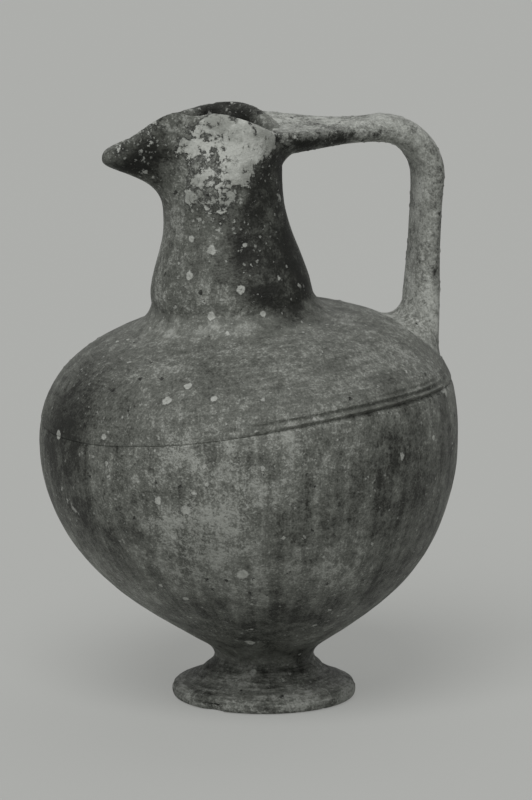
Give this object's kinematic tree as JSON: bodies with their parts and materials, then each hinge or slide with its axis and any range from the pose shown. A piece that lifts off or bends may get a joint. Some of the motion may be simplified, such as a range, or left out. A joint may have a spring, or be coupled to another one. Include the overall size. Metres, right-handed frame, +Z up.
{
  "type": "pouring jug",
  "caption": "Ceramic pouring jug with a round belly, conical neck, pinched three-lobed mouth with a drooping spout, strap handle and stemmed foot.",
  "frame": {"origin": "centre of the ring that the foot rests on, in the plane of the resting surface", "axes": "+Z up from the foot to the mouth; the spout points to -X and the handle to +X"},
  "size_m": [0.1685, 0.1688, 0.2423],
  "materials": {
    "foot_clay": "satin",
    "burnished_clay": "satin",
    "wiped_clay": "satin",
    "crusted_clay": "matte",
    "strap_clay": "matte",
    "luting_clay": "matte"
  },
  "bodies": {
    "root": {"foot": "foot_clay", "foot_lute": "luting_clay", "belly": "burnished_clay", "seam_lute": "luting_clay", "shoulder": "wiped_clay", "neck": "crusted_clay", "neck_lute": "luting_clay", "handle": "strap_clay", "handle_top_lute": "luting_clay", "handle_root_lute": "luting_clay"}
  },
  "joints": []
}
